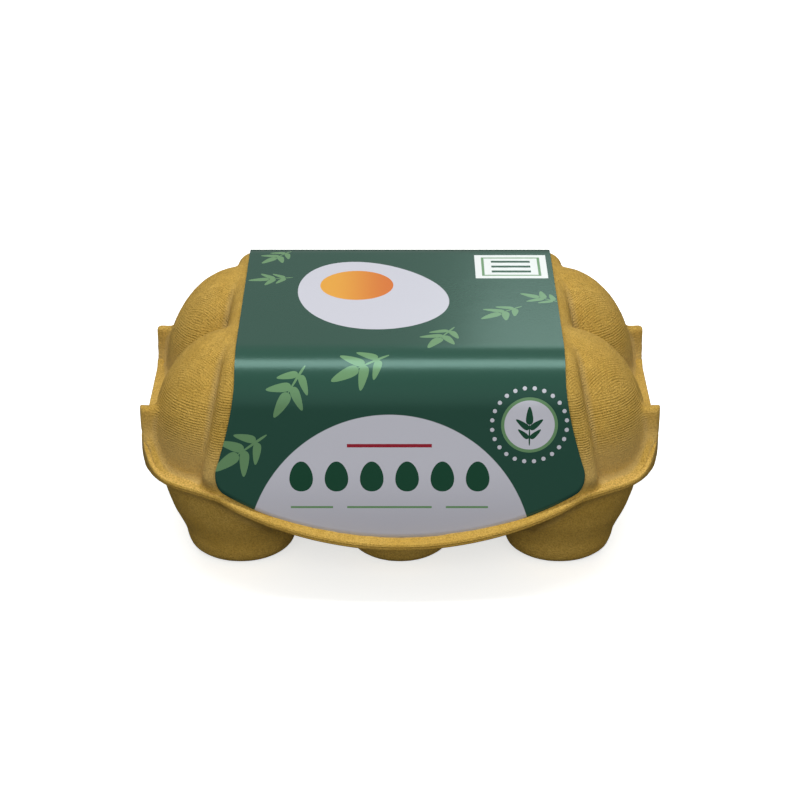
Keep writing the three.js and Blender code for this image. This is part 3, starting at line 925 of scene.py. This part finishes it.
# The pulp's unevenness, fine and slow, as a very shallow relief, with the fine part in the gloss too
skin = add_node(
    tree, "TexNoise",
    {"Vector": sheet, "Scale": 1 / SKIN_WIDTH, "Detail": 3, "Roughness": 0.6}).outputs["Fac"]
sag = add_node(tree, "TexNoise", {"Vector": sheet, "Scale": 1 / SAG_WIDTH, "Detail": 1}).outputs["Fac"]
height = add_node(tree, "Math", {0: sag, 1: SAG_RELIEF, 2: skin}, operation="MULTIPLY_ADD").outputs[0]
bump = add_node(
    tree, "Bump", {"Height": height, "Strength": 1.0, "Distance": LABEL_RELIEF_DEPTH * MM}).outputs[0]
worn = add_node(tree, "MapRange", {"Value": skin, "To Min": 0.21, "To Max": 0.26}).outputs[0]
shader = add_node(
    tree, "BsdfPrincipled",
    {"Base Color": colour, "Roughness": worn, "IOR": 1.5, "Specular Tint": (0.6, 1.0, 0.9, 1),
     "Normal": bump}).outputs[0]
add_node(tree, "OutputMaterial", {"Surface": shader})

label.data.materials.append(paper)
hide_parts("label")
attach(label, "root")


# Setting: a plain pale floor, a wide soft light above, one in front, and a pale sky. None of it is the box.
# A small low light behind is seen only as the sheen on the label's top.
FLOOR_PALE = "#F6F6F4"
FLOOR_HALF_SIZE = 20
FLOOR_GLOW = 0.7
SKY_LOW = 0.02
SKY_HIGH = 0.32

bm = bmesh.new()
bmesh.ops.create_grid(bm, x_segments=1, y_segments=1, size=FLOOR_HALF_SIZE)
floor_mesh = bpy.data.meshes.new("floor")
bm.to_mesh(floor_mesh)
bm.free()
floor = bpy.data.objects.new("floor", floor_mesh)
bpy.context.scene.collection.objects.link(floor)
ground, tree = new_material("floor_paper_matt")
shader = add_node(
    tree, "BsdfPrincipled",
    {"Base Color": linear(FLOOR_PALE), "Roughness": 0.9, "Emission Color": linear(FLOOR_PALE),
     "Emission Strength": FLOOR_GLOW}).outputs[0]
add_node(tree, "OutputMaterial", {"Surface": shader})
floor.data.materials.append(ground)
floor.visible_diffuse = False
floor.visible_glossy = False


def add_softbox(name, place, aim, size, power, in_diffuse=True, in_gloss=True, tint=(1, 1, 1)):
    """A rectangular soft light, aimed at a point. Places and sizes are in metres."""
    light = bpy.data.lights.new(name, "AREA")
    light.shape = "RECTANGLE"
    light.size, light.size_y = size
    light.energy = power
    light.color = tint
    lamp = bpy.data.objects.new(name, light)
    lamp.location = place
    lamp.visible_diffuse = in_diffuse
    lamp.visible_glossy = in_gloss
    lamp.rotation_mode = "QUATERNION"
    lamp.rotation_quaternion = (Vector(aim) - Vector(place)).to_track_quat("-Z", "Y")
    bpy.context.scene.collection.objects.link(lamp)


add_softbox("top_light", (0.0, 0.0, 0.95), (0, 0, 0.03), (1.1, 0.3), 6.6)
add_softbox("front_light", (0.0, -0.86, 0.42), (0, 0, 0.03), (1.0, 0.6), 3.7, in_gloss=False)
add_softbox(
    "sheen_light", (0.11, 0.30, 0.275), (0.04, -0.03, 0.07), (0.17, 0.15), 0.12, in_diffuse=False,
    tint=(0.75, 1, 0.92))

world = bpy.data.worlds.new("studio")
world.use_nodes = True
tree = world.node_tree
direction = add_node(tree, "TexCoord").outputs["Generated"]
rise = add_node(tree, "SeparateXYZ", {0: direction}).outputs["Z"]
sky = add_node(
    tree, "MapRange",
    {"Value": rise, "From Min": -0.05, "From Max": 0.1, "To Min": SKY_LOW, "To Max": SKY_HIGH}).outputs[0]
tree.links.new(sky, tree.nodes["Background"].inputs["Strength"])
tree.nodes["Background"].inputs["Color"].default_value = (1, 1, 1, 1)
scene = bpy.context.scene
scene.world = world
scene.view_settings.view_transform = "Standard"

# Camera: where the photograph was taken from, worked out from the outlines of the domes, cups and rim
camera_data = bpy.data.cameras.new("camera")
camera_data.lens = 110.025
camera_data.sensor_width = 36
camera = bpy.data.objects.new("camera", camera_data)
camera.location = (0, -0.67320, 0.34989)
camera.rotation_euler = (math.radians(65), 0, 0)
scene.collection.objects.link(camera)
scene.camera = camera
